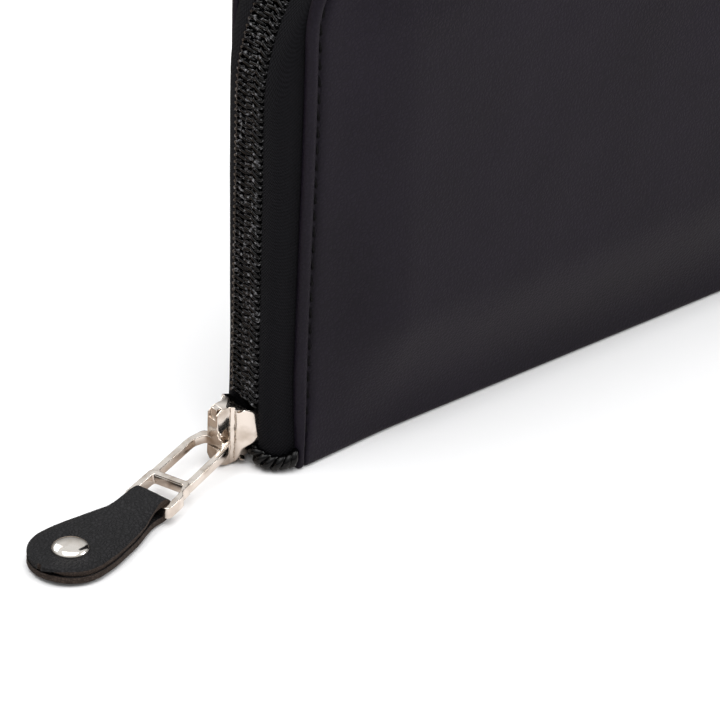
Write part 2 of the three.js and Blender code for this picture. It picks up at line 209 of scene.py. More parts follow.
def makeFloor():
    bm = bmesh.new()
    bmesh.ops.create_grid(bm, x_segments=1, y_segments=1, size=4)
    material = bpy.data.materials.new("paleFloor")
    material.use_nodes = True
    tree = material.node_tree
    shader = tree.nodes["Principled BSDF"]
    # glossy rays see the floor brown behind the part and pale in front of it: a painted dark reflection for
    # the polished metal; camera and diffuse rays see the even pale floor
    coord = addNode(tree, "TexCoord")
    split = addNode(tree, "SeparateXYZ", {0: coord.outputs["Object"]})
    start, end = lightSet["paintedReflectionSpan"]
    share = addNode(tree, "MapRange", {"Value": split.outputs["Y"], "From Min": start, "From Max": end})
    spread = addNode(tree, "ValToRGB", {"Fac": share.outputs["Result"]})
    spread.color_ramp.elements[0].color = (*lightSet["paintedReflectionFront"], 1)
    spread.color_ramp.elements[1].color = (*lightSet["paintedReflectionBack"], 1)
    path = addNode(tree, "LightPath")
    choose = addNode(tree, "Mix", {
        "Factor": path.outputs["Is Glossy Ray"], "A": (*lightSet["floor"], 1), "B": spread.outputs["Color"],
    }, data_type="RGBA")
    tree.links.new(choose.outputs["Result"], shader.inputs["Base Color"])
    shader.inputs["Roughness"].default_value = 0.9
    shader.inputs["Specular IOR Level"].default_value = 0.1
    mesh = bpy.data.meshes.new("paleFloor")
    bm.to_mesh(mesh)
    bm.free()
    mesh.materials.append(material)
    newObject("paleFloor", mesh)


scene.view_settings.view_transform = "Standard"
makeCamera()
makeWorld()
makeFloor()
for lightName in ("key", "front", "back"):
    makeLight(lightName, **lightSet[lightName])
print("stage ready")


# Materials: shared effects are node groups, shaders stay in each material
def newGroup(name, inputs, outputs):
    tree = bpy.data.node_groups.new(name, "ShaderNodeTree")
    for label, kind, value in inputs:
        socket = tree.interface.new_socket(name=label, in_out="INPUT", socket_type=kind)
        if value is not None:
            socket.default_value = value
    for label, kind in outputs:
        tree.interface.new_socket(name=label, in_out="OUTPUT", socket_type=kind)
    source = tree.nodes.new("NodeGroupInput")
    target = tree.nodes.new("NodeGroupOutput")
    return tree, source, target


def addMath(tree, operation, first, second):
    return addNode(tree, "Math", {0: first, 1: second}, operation=operation).outputs[0]


def addNoise(tree, vector, scale, detail=3.0, roughness=0.55):
    inputs = {"Vector": vector, "Scale": scale, "Detail": detail, "Roughness": roughness}
    return addNode(tree, "TexNoise", inputs).outputs["Fac"]


def makeGrainGroup():
    tree, source, target = newGroup(
        "leatherGrain",
        [("Vector", "NodeSocketVector", None), ("Cells", "NodeSocketFloat", 900.0),
         ("Creases", "NodeSocketFloat", 160.0), ("Pebble", "NodeSocketFloat", 1.0)],
        [("Height", "NodeSocketFloat"), ("Tone", "NodeSocketFloat")],
    )
    vector = source.outputs["Vector"]
    warp = addNoise(tree, vector, 420.0, 2.0)
    push = addNode(tree, "VectorMath", {0: warp, 1: (0.0009, 0.0009, 0.0009), 2: vector},
                   operation="MULTIPLY_ADD")
    cells = addNode(tree, "TexVoronoi", {"Vector": push.outputs[0], "Scale": source.outputs["Cells"]},
                    feature="DISTANCE_TO_EDGE")
    rise = addNode(tree, "MapRange", {"Value": cells.outputs["Distance"], "From Max": 0.28},
                   interpolation_type="SMOOTHSTEP")
    pebble = addMath(tree, "MULTIPLY", rise.outputs["Result"], source.outputs["Pebble"])
    crease = addNoise(tree, vector, source.outputs["Creases"], 5.0, 0.6)
    fine = addNoise(tree, vector, 2600.0, 2.0)
    height = addMath(tree, "ADD", pebble, addMath(tree, "MULTIPLY", crease, 0.9))
    height = addMath(tree, "ADD", height, addMath(tree, "MULTIPLY", fine, 0.25))
    broad = addNoise(tree, vector, 38.0, 3.0)
    tone = addMath(tree, "ADD", addMath(tree, "MULTIPLY", broad, 0.6), addMath(tree, "MULTIPLY", pebble, 0.4))
    tree.links.new(height, target.inputs["Height"])
    tree.links.new(tone, target.inputs["Tone"])
    return tree


def makeWeaveGroup():
    tree, source, target = newGroup(
        "clothWeave",
        [("Vector", "NodeSocketVector", None), ("Threads", "NodeSocketFloat", 3000.0),
         ("Fuzz", "NodeSocketFloat", 0.3)],
        [("Height", "NodeSocketFloat"), ("Tone", "NodeSocketFloat")],
    )
    split = addNode(tree, "SeparateXYZ", {0: source.outputs["Vector"]})
    along = addMath(tree, "MULTIPLY", split.outputs["X"], source.outputs["Threads"])
    across = addMath(tree, "MULTIPLY", split.outputs["Y"], source.outputs["Threads"])
    twill = addMath(tree, "SINE", addMath(tree, "ADD", along, across), 0.0)
    rib = addMath(tree, "SINE", addMath(tree, "SUBTRACT", across, along), 0.0)
    both = addMath(tree, "ADD", twill, addMath(tree, "MULTIPLY", rib, 0.6))
    fuzz = addNoise(tree, source.outputs["Vector"], 3.4, 4.0, 0.75)
    loose = addMath(tree, "MULTIPLY", fuzz, source.outputs["Fuzz"])
    height = addMath(tree, "ADD", addMath(tree, "MULTIPLY", both, 0.3), addMath(tree, "MULTIPLY", loose, 3.0))
    tone = addMath(tree, "ADD", addMath(tree, "MULTIPLY", both, 0.16), addMath(tree, "MULTIPLY", fuzz, 0.9))
    tree.links.new(height, target.inputs["Height"])
    tree.links.new(tone, target.inputs["Tone"])
    return tree


def makeWearGroup():
    tree, source, target = newGroup(
        "surfaceWear",
        [("Vector", "NodeSocketVector", None), ("Low", "NodeSocketFloat", 0.1),
         ("High", "NodeSocketFloat", 0.3)],
        [("Roughness", "NodeSocketFloat"), ("Height", "NodeSocketFloat")],
    )
    vector = source.outputs["Vector"]
    stretch = addNode(tree, "Mapping", {"Vector": vector, "Scale": (1.0, 7.0, 2.0)})
    scratches = addNoise(tree, stretch.outputs["Vector"], 1500.0, 2.0)
    smears = addNoise(tree, vector, 260.0, 3.0)
    spread = addNode(tree, "MapRange", {
        "Value": addMath(tree, "MULTIPLY", scratches, smears), "From Min": 0.12, "From Max": 0.42,
        "To Min": source.outputs["Low"], "To Max": source.outputs["High"],
    })
    tree.links.new(spread.outputs["Result"], target.inputs["Roughness"])
    tree.links.new(scratches, target.inputs["Height"])
    return tree


grainGroup = makeGrainGroup()
weaveGroup = makeWeaveGroup()
wearGroup = makeWearGroup()


def newMaterial(name, coordinates="Object"):
    material = bpy.data.materials.new(name)
    material.use_nodes = True
    tree = material.node_tree
    return material, tree, tree.nodes["Principled BSDF"], addNode(tree, "TexCoord").outputs[coordinates]


def placeGroup(tree, group, vector, **values):
    return addNode(tree, "Group", {"Vector": vector, **values}, node_tree=group)


def addBump(tree, shader, height, strength, distance):
    bump = addNode(tree, "Bump", {"Strength": strength, "Distance": distance, "Height": height})
    tree.links.new(bump.outputs["Normal"], shader.inputs["Normal"])


def addTint(tree, shader, tone, dark, light, low=0.25, high=0.8):
    ramp = addNode(tree, "ValToRGB", {"Fac": tone})
    for index, (place, color) in enumerate(((low, dark), (high, light))):
        ramp.color_ramp.elements[index].position = place
        ramp.color_ramp.elements[index].color = (*color, 1)
    tree.links.new(ramp.outputs["Color"], shader.inputs["Base Color"])


def addRange(tree, value, low, high):
    return addNode(tree, "MapRange", {"Value": value, "To Min": low, "To Max": high}).outputs["Result"]


def leatherMaterial(name, dark, light, cells, creases, pebble, bump, gloss):
    material, tree, shader, vector = newMaterial(name)
    grain = placeGroup(tree, grainGroup, vector, Cells=cells, Creases=creases, Pebble=pebble)
    addTint(tree, shader, grain.outputs["Tone"], dark, light)
    tree.links.new(addRange(tree, grain.outputs["Tone"], gloss[0], gloss[1]), shader.inputs["Roughness"])
    shader.inputs["Specular IOR Level"].default_value = 0.14
    addBump(tree, shader, grain.outputs["Height"], 0.55, bump)
    return material


def clothMaterial(name, dark, light, threads, fuzz, bump):
    material, tree, shader, vector = newMaterial(name, "UV")
    weave = placeGroup(tree, weaveGroup, vector, Threads=threads, Fuzz=fuzz)
    addTint(tree, shader, weave.outputs["Tone"], dark, light, 0.1, 0.85)
    shader.inputs["Roughness"].default_value = 0.88
    shader.inputs["Specular IOR Level"].default_value = 0.05
    shader.inputs["Sheen Weight"].default_value = 0.015
    addBump(tree, shader, weave.outputs["Height"], 0.6, bump)
    return material


def metalMaterial(name, color, paintedReflection, low, high):
    # broad soft patches go to the brown second colour: a painted dark reflection of the wallet and room, laid
    # at random
    material, tree, shader, vector = newMaterial(name)
    wear = placeGroup(tree, wearGroup, vector, Low=low, High=high)
    addTint(tree, shader, addNoise(tree, vector, 300.0, 2.5, 0.5), color, paintedReflection, 0.46, 0.78)
    shader.inputs["Metallic"].default_value = 1
    tree.links.new(wear.outputs["Roughness"], shader.inputs["Roughness"])
    addBump(tree, shader, wear.outputs["Height"], 0.08, 0.02 * mm)
    return material


def plasticMaterial(name, color, light, roughness, specular):
    material, tree, shader, vector = newMaterial(name)
    wear = placeGroup(tree, wearGroup, vector, Low=roughness * 0.7, High=roughness * 1.5)
    # random lighter speckles: on the zip coil these are painted glints, on the other plastics a tone of their
    # own
    addTint(tree, shader, addNoise(tree, vector, 1700.0, 2.0, 0.6), color, light, 0.56, 0.74)
    tree.links.new(wear.outputs["Roughness"], shader.inputs["Roughness"])
    shader.inputs["Specular IOR Level"].default_value = specular
    addBump(tree, shader, wear.outputs["Height"], 0.15, 0.02 * mm)
    return material


shellLeather = leatherMaterial(
    "shellLeather", (0.0050, 0.0036, 0.0074), (0.0115, 0.0085, 0.0160),
    cells=1500.0, creases=210.0, pebble=0.55, bump=0.10 * mm, gloss=(0.46, 0.6),
)
strapHide = leatherMaterial(
    "strapHide", (0.0045, 0.0045, 0.005), (0.017, 0.0165, 0.018),
    cells=1700.0, creases=330.0, pebble=1.1, bump=0.2 * mm, gloss=(0.42, 0.6),
)
cardLeather = leatherMaterial(
    "cardLeather", (0.018, 0.016, 0.020), (0.032, 0.029, 0.035),
    cells=1700.0, creases=240.0, pebble=0.4, bump=0.07 * mm, gloss=(0.5, 0.64),
)
cutEdge = leatherMaterial(
    "cutEdge", (0.020, 0.014, 0.011), (0.075, 0.055, 0.045),
    cells=2400.0, creases=500.0, pebble=0.8, bump=0.12 * mm, gloss=(0.75, 0.9),
)
tapeCloth = clothMaterial("tapeCloth", (0.0003, 0.0003, 0.0004), (0.0150, 0.0146, 0.0175), 8.0, 0.8, 0.2 * mm)
liningCloth = clothMaterial("liningCloth", (0.01, 0.01, 0.012), (0.028, 0.027, 0.033), 12.0, 0.25, 0.05 * mm)
sewingThread = plasticMaterial("sewingThread", (0.0016, 0.0014, 0.0018), (0.004, 0.0036, 0.0044), 0.7, 0.1)
# the coil's pale grey speckles are painted glints on the black nylon
coilNylon = plasticMaterial("coilNylon", (0.0008, 0.0008, 0.0011), (0.22, 0.218, 0.228), 0.2, 0.22)
ropeNylon = plasticMaterial("ropeNylon", (0.0008, 0.0008, 0.001), (0.004, 0.004, 0.0044), 0.17, 0.2)
fibreBoard = plasticMaterial("fibreBoard", (0.17, 0.15, 0.12), (0.24, 0.215, 0.18), 0.8, 0.2)
# each nickel's second colour is its painted dark reflection, in random soft patches
brightNickel = metalMaterial("brightNickel", (0.80, 0.74, 0.68), (0.36, 0.28, 0.21), 0.07, 0.17)
rivetNickel = metalMaterial("rivetNickel", (0.80, 0.76, 0.71), (0.50, 0.44, 0.38), 0.06, 0.16)
print("materials ready")


# Mesh helpers
def warpedGrid(columns, rows, place, uvScale=(1.0, 1.0)):
    bm = bmesh.new()
    bmesh.ops.create_grid(bm, x_segments=columns, y_segments=rows, size=0.5)
    uvLayer = bm.loops.layers.uv.new("UVMap")
    for face in bm.faces:
        for loop in face.loops:
            co = loop.vert.co
            loop[uvLayer].uv = ((co.x + 0.5) * uvScale[0], (co.y + 0.5) * uvScale[1])
    for vert in bm.verts:
        vert.co = Vector(place(vert.co.x + 0.5, vert.co.y + 0.5))
    return bm


def joinInto(bm, other):
    spare = bpy.data.meshes.new("spare")
    other.to_mesh(spare)
    other.free()
    bm.from_mesh(spare)
    bpy.data.meshes.remove(spare)


def shadeSmooth(mesh, sharp=None):
    mesh.polygons.foreach_set("use_smooth", [True] * len(mesh.polygons))
    if sharp:
        mesh.set_sharp_from_angle(angle=math.radians(sharp))


def makePiece(name, bm, material, sharp=None):
    mesh = bpy.data.meshes.new(name)
    bm.to_mesh(mesh)
    bm.free()
    mesh.materials.append(material)
    shadeSmooth(mesh, sharp)
    return newObject(name, mesh)


def finish(piece, body, nodes=()):
    if body:
        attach(piece, body)
    if nodes:
        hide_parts(*nodes)
    return piece


def addSolidify(piece, thickness, offset=-1.0):
    modifier = piece.modifiers.new("thickness", "SOLIDIFY")
    modifier.thickness = thickness
    modifier.offset = offset
    modifier.use_even_offset = True
    return modifier


def addBevel(piece, width, segments=2, angle=40):
    modifier = piece.modifiers.new("edges", "BEVEL")
    modifier.width = width
    modifier.segments = segments
    modifier.limit_method = "ANGLE"
    modifier.angle_limit = math.radians(angle)
    modifier.harden_normals = False
    return modifier


def meshOf(thing):
    bpy.context.view_layer.update()
    graph = bpy.context.evaluated_depsgraph_get()
    return bpy.data.meshes.new_from_object(thing.evaluated_get(graph))


def settle(piece):
    mesh = meshOf(piece)
    old = piece.data
    piece.modifiers.clear()
    piece.data = mesh
    bpy.data.meshes.remove(old)
    mesh.name = piece.name
    return piece


def tubes(name, lines, radius, material, sides=1, closed=False):
    curve = bpy.data.curves.new(name, "CURVE")
    curve.dimensions = "3D"
    curve.bevel_depth = radius
    curve.bevel_resolution = sides
    curve.use_fill_caps = True
    for line in lines:
        spline = curve.splines.new("POLY")
        spline.points.add(len(line) - 1)
        for point, place in zip(spline.points, line):
            point.co = (*place[:3], 1)
            point.radius = place[3] if len(place) > 3 else 1.0
        spline.use_cyclic_u = closed
    source = newObject(name + "Line", curve)
    mesh = meshOf(source)
    bpy.data.objects.remove(source)
    mesh.name = name
    mesh.materials.clear()
    mesh.materials.append(material)
    shadeSmooth(mesh)
    return newObject(name, mesh)


sides = (("front", -1), ("back", 1))

# Covers: a leather skin each, from the middle of the spine, round the fold and up to the turned rim
skinSet = dict(
    rim=[(3.0, 1.4), (1.2, 1.4), (0.45, 1.36), (0.12, 1.12), (0, 0.74), (0.07, 0.38), (0.28, 0.02),
         (0.6, -0.26), (0.95, -0.38), (1.35, -0.3), (1.65, -0.04), (1.86, 0.24), (2.04, 0.52), (2.2, 0.64),
         (2.38, 0.5), (2.62, 0.2), (2.95, 0.0), (3.5, -0.1), (4.6, -0.07), (6.2, 0), (8.2, 0), (10.6, 0),
         (13.6, 0), (17, 0)],
    step=1.4 * mm,
    ripple=0.16 * mm,
    footShare=0.5,           # how far the turned rim narrows towards the floor
    footDepth=0.3,           # how far it swells there
    footRise=13 * mm,
    bendLow=0.8 * mm, bendHigh=6.5 * mm,
)


def spinePath(distance):
    flat = edgeLow - form["fold"]
    turn = form["fold"] * math.pi / 2
    if distance <= flat:
        return -distance, 0.0, Vector((0, 0, -1))
    if distance <= flat + turn:
        angle = (distance - flat) / form["fold"]
        y = -flat - form["fold"] * math.sin(angle)
        return y, form["fold"] * (1 - math.cos(angle)), Vector((0, -math.sin(angle), -math.cos(angle)))
    return None, form["fold"] + distance - flat - turn, Vector((0, -1, 0))


def skinGrid(side, profile, inner):
    rim = skinSet["rim"]
    ring = [0.0]
    for (a, b), (c, d) in zip(rim, rim[1:]):
        ring.append(ring[-1] + math.hypot(c - a, d - b))
    last = len(rim) - 1
    flat = edgeLow - form["fold"]
    turn = form["fold"] * math.pi / 2
    base = [flat * i / 4 for i in range(4)] + [flat + turn * i / 7 for i in range(7)]
    rise = coverTop - form["fold"]
    steps = round(rise / skinSet["step"])
    paths = base + [flat + turn + rise * i / steps for i in range(steps)]
    middle = round(2 * (halfLong - form["corner"]) / skinSet["step"])
    columns = 2 * last + middle
    rows = len(paths) + last

    def place(u, v):
        i, j = round(u * columns), round(v * rows)
        kSide = min(i, columns - i)
        hand = -1 if i < columns / 2 else 1
        kTop = rows - j
        plainX = mix(-1, 1, (i - last) / middle) * (halfLong - form["corner"])
        path = paths[j] if j < len(paths) else flat + turn + rise
        depth = 0.0 if j == 0 or not inner else form["leather"]
        inset = rim[-1][0] * mm
        if kSide >= last and kTop >= last:
            x, z = plainX, None
        else:
            k, other = min(kSide, kTop), max(kSide, kTop)
            inset, depth = (value * mm for value in (rim if j == 0 else profile)[k])
            if depth < 0:
                depth *= mix(skinSet["footDepth"], 1, smooth((path - edgeLow) / (6 * mm)))
            if other >= last and kSide < kTop:
                narrow = mix(skinSet["footShare"], 1, smooth((path - edgeLow) / skinSet["footRise"]))
                x, z = hand * (halfLong - inset * mix(narrow, 1, smooth((inset - 2 * mm) / (12 * mm)))), None
            elif other >= last:
                x, z = plainX, tall - inset
            else:
                share = (ring[other] - ring[k]) / (ring[last] - ring[k])
                angle = math.pi / 4 * (1 - share if kSide < kTop else 1 + share)
                radius = form["corner"] - inset
                x = hand * (halfLong - form["corner"] + radius * math.cos(angle))
                z = coverTop + radius * math.sin(angle)
        normal = Vector((0, -1, 0))
        if z is None:
            y, z, normal = spinePath(path)
        else:
            y = None
        if y is None:
            y = -coverHalf(x, z)
        if not inner:
            wave = noise.noise(Vector((x, side * 0.05, z)) * 42)
            wave += 0.5 * noise.noise(Vector((x, side * 0.09, z)) * 110)
            fade = smooth((z - 4 * mm) / (12 * mm)) * smooth((inset - 3 * mm) / (7 * mm))
            depth += skinSet["ripple"] * wave * fade
        point = Vector((x, y, z)) - normal * depth
        return point.x, -side * point.y * flare(point.x, point.z), point.z

    return warpedGrid(columns, rows, place)


def coverSkin(name, side, nodes):
    rim = skinSet["rim"]
    last = len(rim) - 1
    inside = [(mix(rim[0][0], rim[-1][0], k / last), rim[0][1]) for k in range(last + 1)]
    bm = skinGrid(side, rim, False)
    back = skinGrid(side, inside, True)
    bmesh.ops.reverse_faces(back, faces=back.faces)
    joinInto(bm, back)
    bmesh.ops.remove_doubles(bm, verts=bm.verts, dist=0.002 * mm)
    bmesh.ops.recalc_face_normals(bm, faces=bm.faces)
    piece = makePiece(name, bm, shellLeather)
    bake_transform(piece)
    finish(piece, None, nodes)


coverSkin("front_skin", -1, ["front_leather", "spine_leather"])
coverSkin("back_skin", 1, ["back_leather"])
print("leather skins ready")


# Lines round the three open sides
def openLine(low, reach, radius, arcLow, counts):
    sideCount, arcCount, topCount = counts
    centre = reach - radius
    left = [(-reach, mix(low, arcLow, i / sideCount), -1.0, 0.0) for i in range(sideCount)]
    for i in range(arcCount):
        angle = math.pi / 2 * i / arcCount
        out = (-math.cos(angle), math.sin(angle))
        left.append((-centre + radius * out[0], arcLow + radius * out[1], *out))
    top = [(mix(-centre, centre, i / topCount), arcLow + radius, 0.0, 1.0) for i in range(topCount + 1)]
    return left + top + [(-x, z, -outX, outZ) for x, z, outX, outZ in reversed(left)]


def chainLine(low, counts):
    return openLine(low, halfLong + form["chainOut"], form["chainCorner"], form["chainCornerStart"], counts)


def evenly(line, pitch):
    # walks a line and gives a place at every pitch: x, z, outward, and the way along
    places, carried = [], 0.0
    for (x0, z0, a0, b0), (x1, z1, a1, b1) in zip(line, line[1:]):
        run = math.hypot(x1 - x0, z1 - z0)
        while carried < run:
            t = carried / run
            out = Vector((mix(a0, a1, t), 0, mix(b0, b1, t))).normalized()
            ahead = Vector((x1 - x0, 0, z1 - z0)).normalized()
            places.append((Vector((mix(x0, x1, t), 0, mix(z0, z1, t))), out, ahead))
            carried += pitch
        carried -= run
    return places


def chainSide(x, z):
    if x > 0 or z > form["straightTop"]:
        return 0.0
    return sliderMiddle.y * (form["straightTop"] - z) / (form["straightTop"] - sliderMiddle.z)


# Sewing round each cover, in the groove beside the turned rim
sewing = dict(
    inset=2.2 * mm, pitch=2.75 * mm, long=2.15 * mm, radius=0.27 * mm,
    low=4.0 * mm, sunk=0.5 * mm, endSunk=0.28 * mm, slant=0.3 * mm,
)


def coverSewing(name, side):
    inset = sewing["inset"]
    line = openLine(sewing["low"], halfLong - inset, form["corner"] - inset, coverTop, (60, 24, 100))
    lines = []
    for place, out, ahead in evenly(line, sewing["pitch"]):
        foot = (1 - smooth((place.z - 1 * mm) / skinSet["footRise"])) * (1 - skinSet["footShare"]) * inset
        place = place + Vector((math.copysign(foot, place.x), 0, 0))
        points = []
        for t in (-0.5, -0.3, 0, 0.3, 0.5):
            spot = place + ahead * (sewing["long"] * t) + out * (sewing["slant"] * 2 * t)
            sink = sewing["sunk"] + (sewing["endSunk"] if abs(t) == 0.5 else 0.0)
            y = side * (coverHalf(spot.x, spot.z) * flare(spot.x, spot.z) - sink)
            points.append((spot.x, y, spot.z, 0.7 if abs(t) == 0.5 else 1.0))
        lines.append(points)
    piece = tubes(name + "_sewing", lines, sewing["radius"], sewingThread)
    finish(piece, name + "_cover")


for name, side in sides:
    coverSewing(name, side)
print("sewing ready")


# Zip tapes: woven strips that bow out from under the rim to the coils
tapeSet = dict(
    thick=0.45 * mm, low=0.9 * mm, inset=1.7 * mm, across=14, counts=(44, 22, 60),
    tuck=-0.75 * mm, tuckRun=2.4 * mm,       # the edge turned in under the coil
    chainGap=3.15 * mm,                      # from the chain's middle line
    rise={-1: 0.42 * mm, 1: 0.1 * mm},      # the front tape bows out further than the back one
    bow={-1: 0.9 * mm, 1: -0.1 * mm},
)


def zipTape(name, side):
    counts = tapeSet["counts"]
    leather = openLine(tapeSet["low"], halfLong, form["corner"], coverTop, counts)
    chain = chainLine(tapeSet["low"], counts)
    columns = len(leather) - 1

    def place(u, v):
        station = round(u * columns)
        edgeX, edgeZ, edgeOutX, edgeOutZ = leather[station]
        lineX, lineZ, outX, outZ = chain[station]
        rim = rimHalf(edgeZ) * flare(edgeX, edgeZ) - form["leather"] + 0.05 * mm
        middle = side * chainSide(lineX, lineZ)
        out = Vector((outX, 0, outZ))
        line = Vector((lineX, 0, lineZ))
        across = Vector((0, 1, 0))
        start = Vector((edgeX - tapeSet["inset"] * edgeOutX, rim, edgeZ - tapeSet["inset"] * edgeOutZ))
        end = line + out * tapeSet["rise"][side] + across * (middle + tapeSet["chainGap"])
        lift = 0.15 * mm * noise.noise(Vector((lineX, side, lineZ)) * 120)
        bow = line + out * (tapeSet["bow"][side] + lift) + across * (rim - 0.1 * mm)
        if v < 0.8:
            t = v / 0.8
            point = start * (1 - t) ** 2 + bow * (2 * t * (1 - t)) + end * t * t
        else:
            t = (v - 0.8) / 0.2
            sink = (tapeSet["tuck"] - tapeSet["rise"][side]) * math.sin(t * math.pi / 2)
            point = end + out * sink - across * (tapeSet["tuckRun"] * t ** 1.5)
        return point.x, side * point.y, point.z

    bm = warpedGrid(columns, tapeSet["across"], place, (380.0, 13.0))
    if side > 0:
        bmesh.ops.reverse_faces(bm, faces=bm.faces)
    piece = makePiece(name + "_tape", bm, tapeCloth)
    addSolidify(piece, tapeSet["thick"])
    finish(settle(piece), name + "_cover", [name + "_zip_tape"])


for name, side in sides:
    zipTape(name, side)
print("tapes ready")


# Zip coils: each half is one nylon line wound in flat turns, with sewing thread laid over its legs
coilSet = dict(
    pitch=1.07 * mm,
    line=0.27 * mm,
    share=0.74,              # how far one turn runs along the chain
    turn=[(2.8, -0.5, -0.3), (2.2, -0.6, -0.2), (1.1, -0.62, -0.1), (0.1, -0.5, -0.03), (-0.5, -0.1, 0.0),
          (-0.55, 0.55, 0.02), (0.05, 0.82, 0.04), (1.1, 0.84, 0.1), (2.2, 0.7, 0.25), (2.8, 0.4, 0.45),
          (2.9, -0.1, 0.68)],
    cord=0.27 * mm,
    cordTurn=[(1.35, 0.7, 0.72), (1.6, 0.93, 0.5), (2.1, 0.95, 0.1), (2.6, 0.8, -0.36), (2.9, 0.5, -0.68)],
    low=sliderHigh.z + 0.1 * mm,
)


def coilPoint(place, out, ahead, side, across, rise, along):
    spot = place + ahead * (along * coilSet["share"] * mm) + out * (rise * mm)
    return Vector((spot.x, chainSide(place.x, place.z) + side * across * mm, spot.z))


def zipCoil(name, side, shift):
    line = chainLine(coilSet["low"], (48, 30, 100))
    places = evenly(line, coilSet["pitch"] / 2)[shift::2]
    wound, cords = [], []
    for place, out, ahead in places:
        for across, rise, along in coilSet["turn"]:
            wound.append(tuple(coilPoint(place, out, ahead, side, across, rise, along)))
        cords.append([
            (*coilPoint(place, out, ahead, side, across, rise, along), 0.75 if i in (0, 4) else 1.0)
            for i, (across, rise, along) in enumerate(coilSet["cordTurn"])
        ])
    coil = tubes(name + "_coil", [wound], coilSet["line"], coilNylon)
    cord = tubes(name + "_coil_thread", cords, coilSet["cord"], coilNylon)
    finish(coil, name + "_cover", [name + "_zip_coil"])
    finish(cord, name + "_cover")


for shift, (name, side) in enumerate(sides):
    zipCoil(name, side, shift)

# Below the slider the parted coils curl down along the tape's foot to the leather's edge
footRope = dict(
    run=[(-0.7, 2.5, 2.8), (-0.9, 4.1, 1.8), (-0.4, 5.6, 1.5), (0.7, 6.8, 1.55), (1.9, 7.5, 1.8),
         (2.9, 7.9, 2.3)],
    core=0.62 * mm, cord=0.6 * mm, gap=0.12 * mm, lobes=6, lean=1.25,
    wind=(150, -130),        # degrees round the core that each lobe covers
)


def footCoil(name, side):
    corner = -halfLong - form["chainOut"]
    stops = [Vector((corner + x * mm, side * y * mm, z * mm)) for x, y, z in footRope["run"]]
    core = [tuple(lerpList(stops, i / 20)) for i in range(21)]
    lines = []
    for i in range(footRope["lobes"]):
        t = (i + 0.5) / footRope["lobes"]
        here = lerpList(stops, t)
        ahead = (lerpList(stops, t + 0.04) - lerpList(stops, t - 0.04)).normalized()
        outward = ahead.cross(Vector((0, 0, -side))).normalized()
        above = ahead.cross(outward) * side
        lobe = []
        for step in range(7):
            turn = math.radians(mix(*footRope["wind"], step / 6))
            reach = (footRope["core"] + footRope["gap"]) * (0.9 if step in (0, 6) else 1)
            spot = here + outward * (math.cos(turn) * reach) + above * (math.sin(turn) * reach)
            spot += ahead * (footRope["lean"] * mm * (1 - step / 3))
            lobe.append((*spot, 0.8 if step in (0, 6) else 1.0))
        lines.append(lobe)
    rope = tubes(name + "_foot_coil", lines, footRope["cord"], ropeNylon, 2)
    heart = tubes(name + "_foot_core", [core], footRope["core"], ropeNylon, 2)
    for piece in (rope, heart):
        finish(piece, "spine")


for name, side in sides:
    footCoil(name, side)
print("coils ready")

# Zip slider: a domed outer plate with rolled sides, an inner plate, and the crown that holds the pull
slider = dict(
    halfWidths=[1.6, 1.95, 2.15, 2.3, 2.42, 2.6, 3.2, 3.72, 3.78, 3.72, 3.66, 3.6, 3.55, 3.5, 3.44, 3.4, 3.35,
                3.3, 3.1],
    low=-4.9, high=4.95,
    dip=0.75, ear=0.55,      # the upper edge sinks beside the crown and rises again at its corners
    dome=4.33, fall=0.22,     # the plate falls away with the square of the distance from its middle
    groove=0.55, grooveAt=1.45, grooveWide=0.17,
    rollFrom=0.8, rollDrop=1.9,              # the plate's rolled sides
    plate=0.75,
    innerShare=0.86, innerOut=-2.3, innerTop=4.5, innerPlate=0.8,
    crownHalf=1.15,
)
slideAcross = Vector((0, slideAxis.z, -slideAxis.y))


def slidePoint(out, across, up):
    return sliderMiddle + Vector((-out, 0, 0)) * mm + slideAcross * (across * mm) + slideAxis * (up * mm)


def outerPlate(u, v):
    t = 2 * u - 1
    half = lerpList(slider["halfWidths"], v)
    flat = min(abs(t) / slider["rollFrom"], 1)
    roll = max((abs(t) - slider["rollFrom"]) / (1 - slider["rollFrom"]), 0)
    across = half * (0.96 * flat + 0.04 * math.sin(roll * math.pi / 2))
    out = slider["dome"] - slider["fall"] * (half * 0.96 * flat) ** 2 - slider["rollDrop"] * roll ** 1.3
    out -= slider["groove"] * math.exp(-((across - slider["grooveAt"]) / slider["grooveWide"]) ** 2)
    high = slider["high"] - slider["dip"] * smooth((across - 1.2) / 1.0)
    high += slider["ear"] * smooth((across - 2.1) / 0.9) - 0.7 * roll ** 1.5
    low = slider["low"] + 0.35 * flat ** 2 + 0.4 * roll
    return slidePoint(out, math.copysign(across, t), mix(low, high, v))


def innerPlate(u, v):
    t = 2 * u - 1
    half = slider["innerShare"] * lerpList(slider["halfWidths"], v)
    out = slider["innerOut"] - 0.25 * (1 - t * t)
    return slidePoint(out, half * t, mix(slider["low"] + 0.5 * t * t, slider["innerTop"], v))


def ringPlate(outer, inner, low, high, bridge):
    # a flat frame between two outlines with as many corners, then thickened
    bm = bmesh.new()
    for outline in (outer, inner):
        corners = [bm.verts.new((x, low, z)) for x, z in outline]
        for first, second in zip(corners, corners[1:] + corners[:1]):
            bm.edges.new((first, second))
    bmesh.ops.bridge_loops(bm, edges=bm.edges)
    grown = bmesh.ops.extrude_face_region(bm, geom=bm.faces)
    risen = [item for item in grown["geom"] if isinstance(item, bmesh.types.BMVert)]
    bmesh.ops.translate(bm, verts=risen, vec=(0, high - low, 0))
    bmesh.ops.recalc_face_normals(bm, faces=bm.faces)
    for vert in bm.verts:
        vert.co = Vector(bridge(*vert.co))
    bmesh.ops.recalc_face_normals(bm, faces=bm.faces)
    return bm


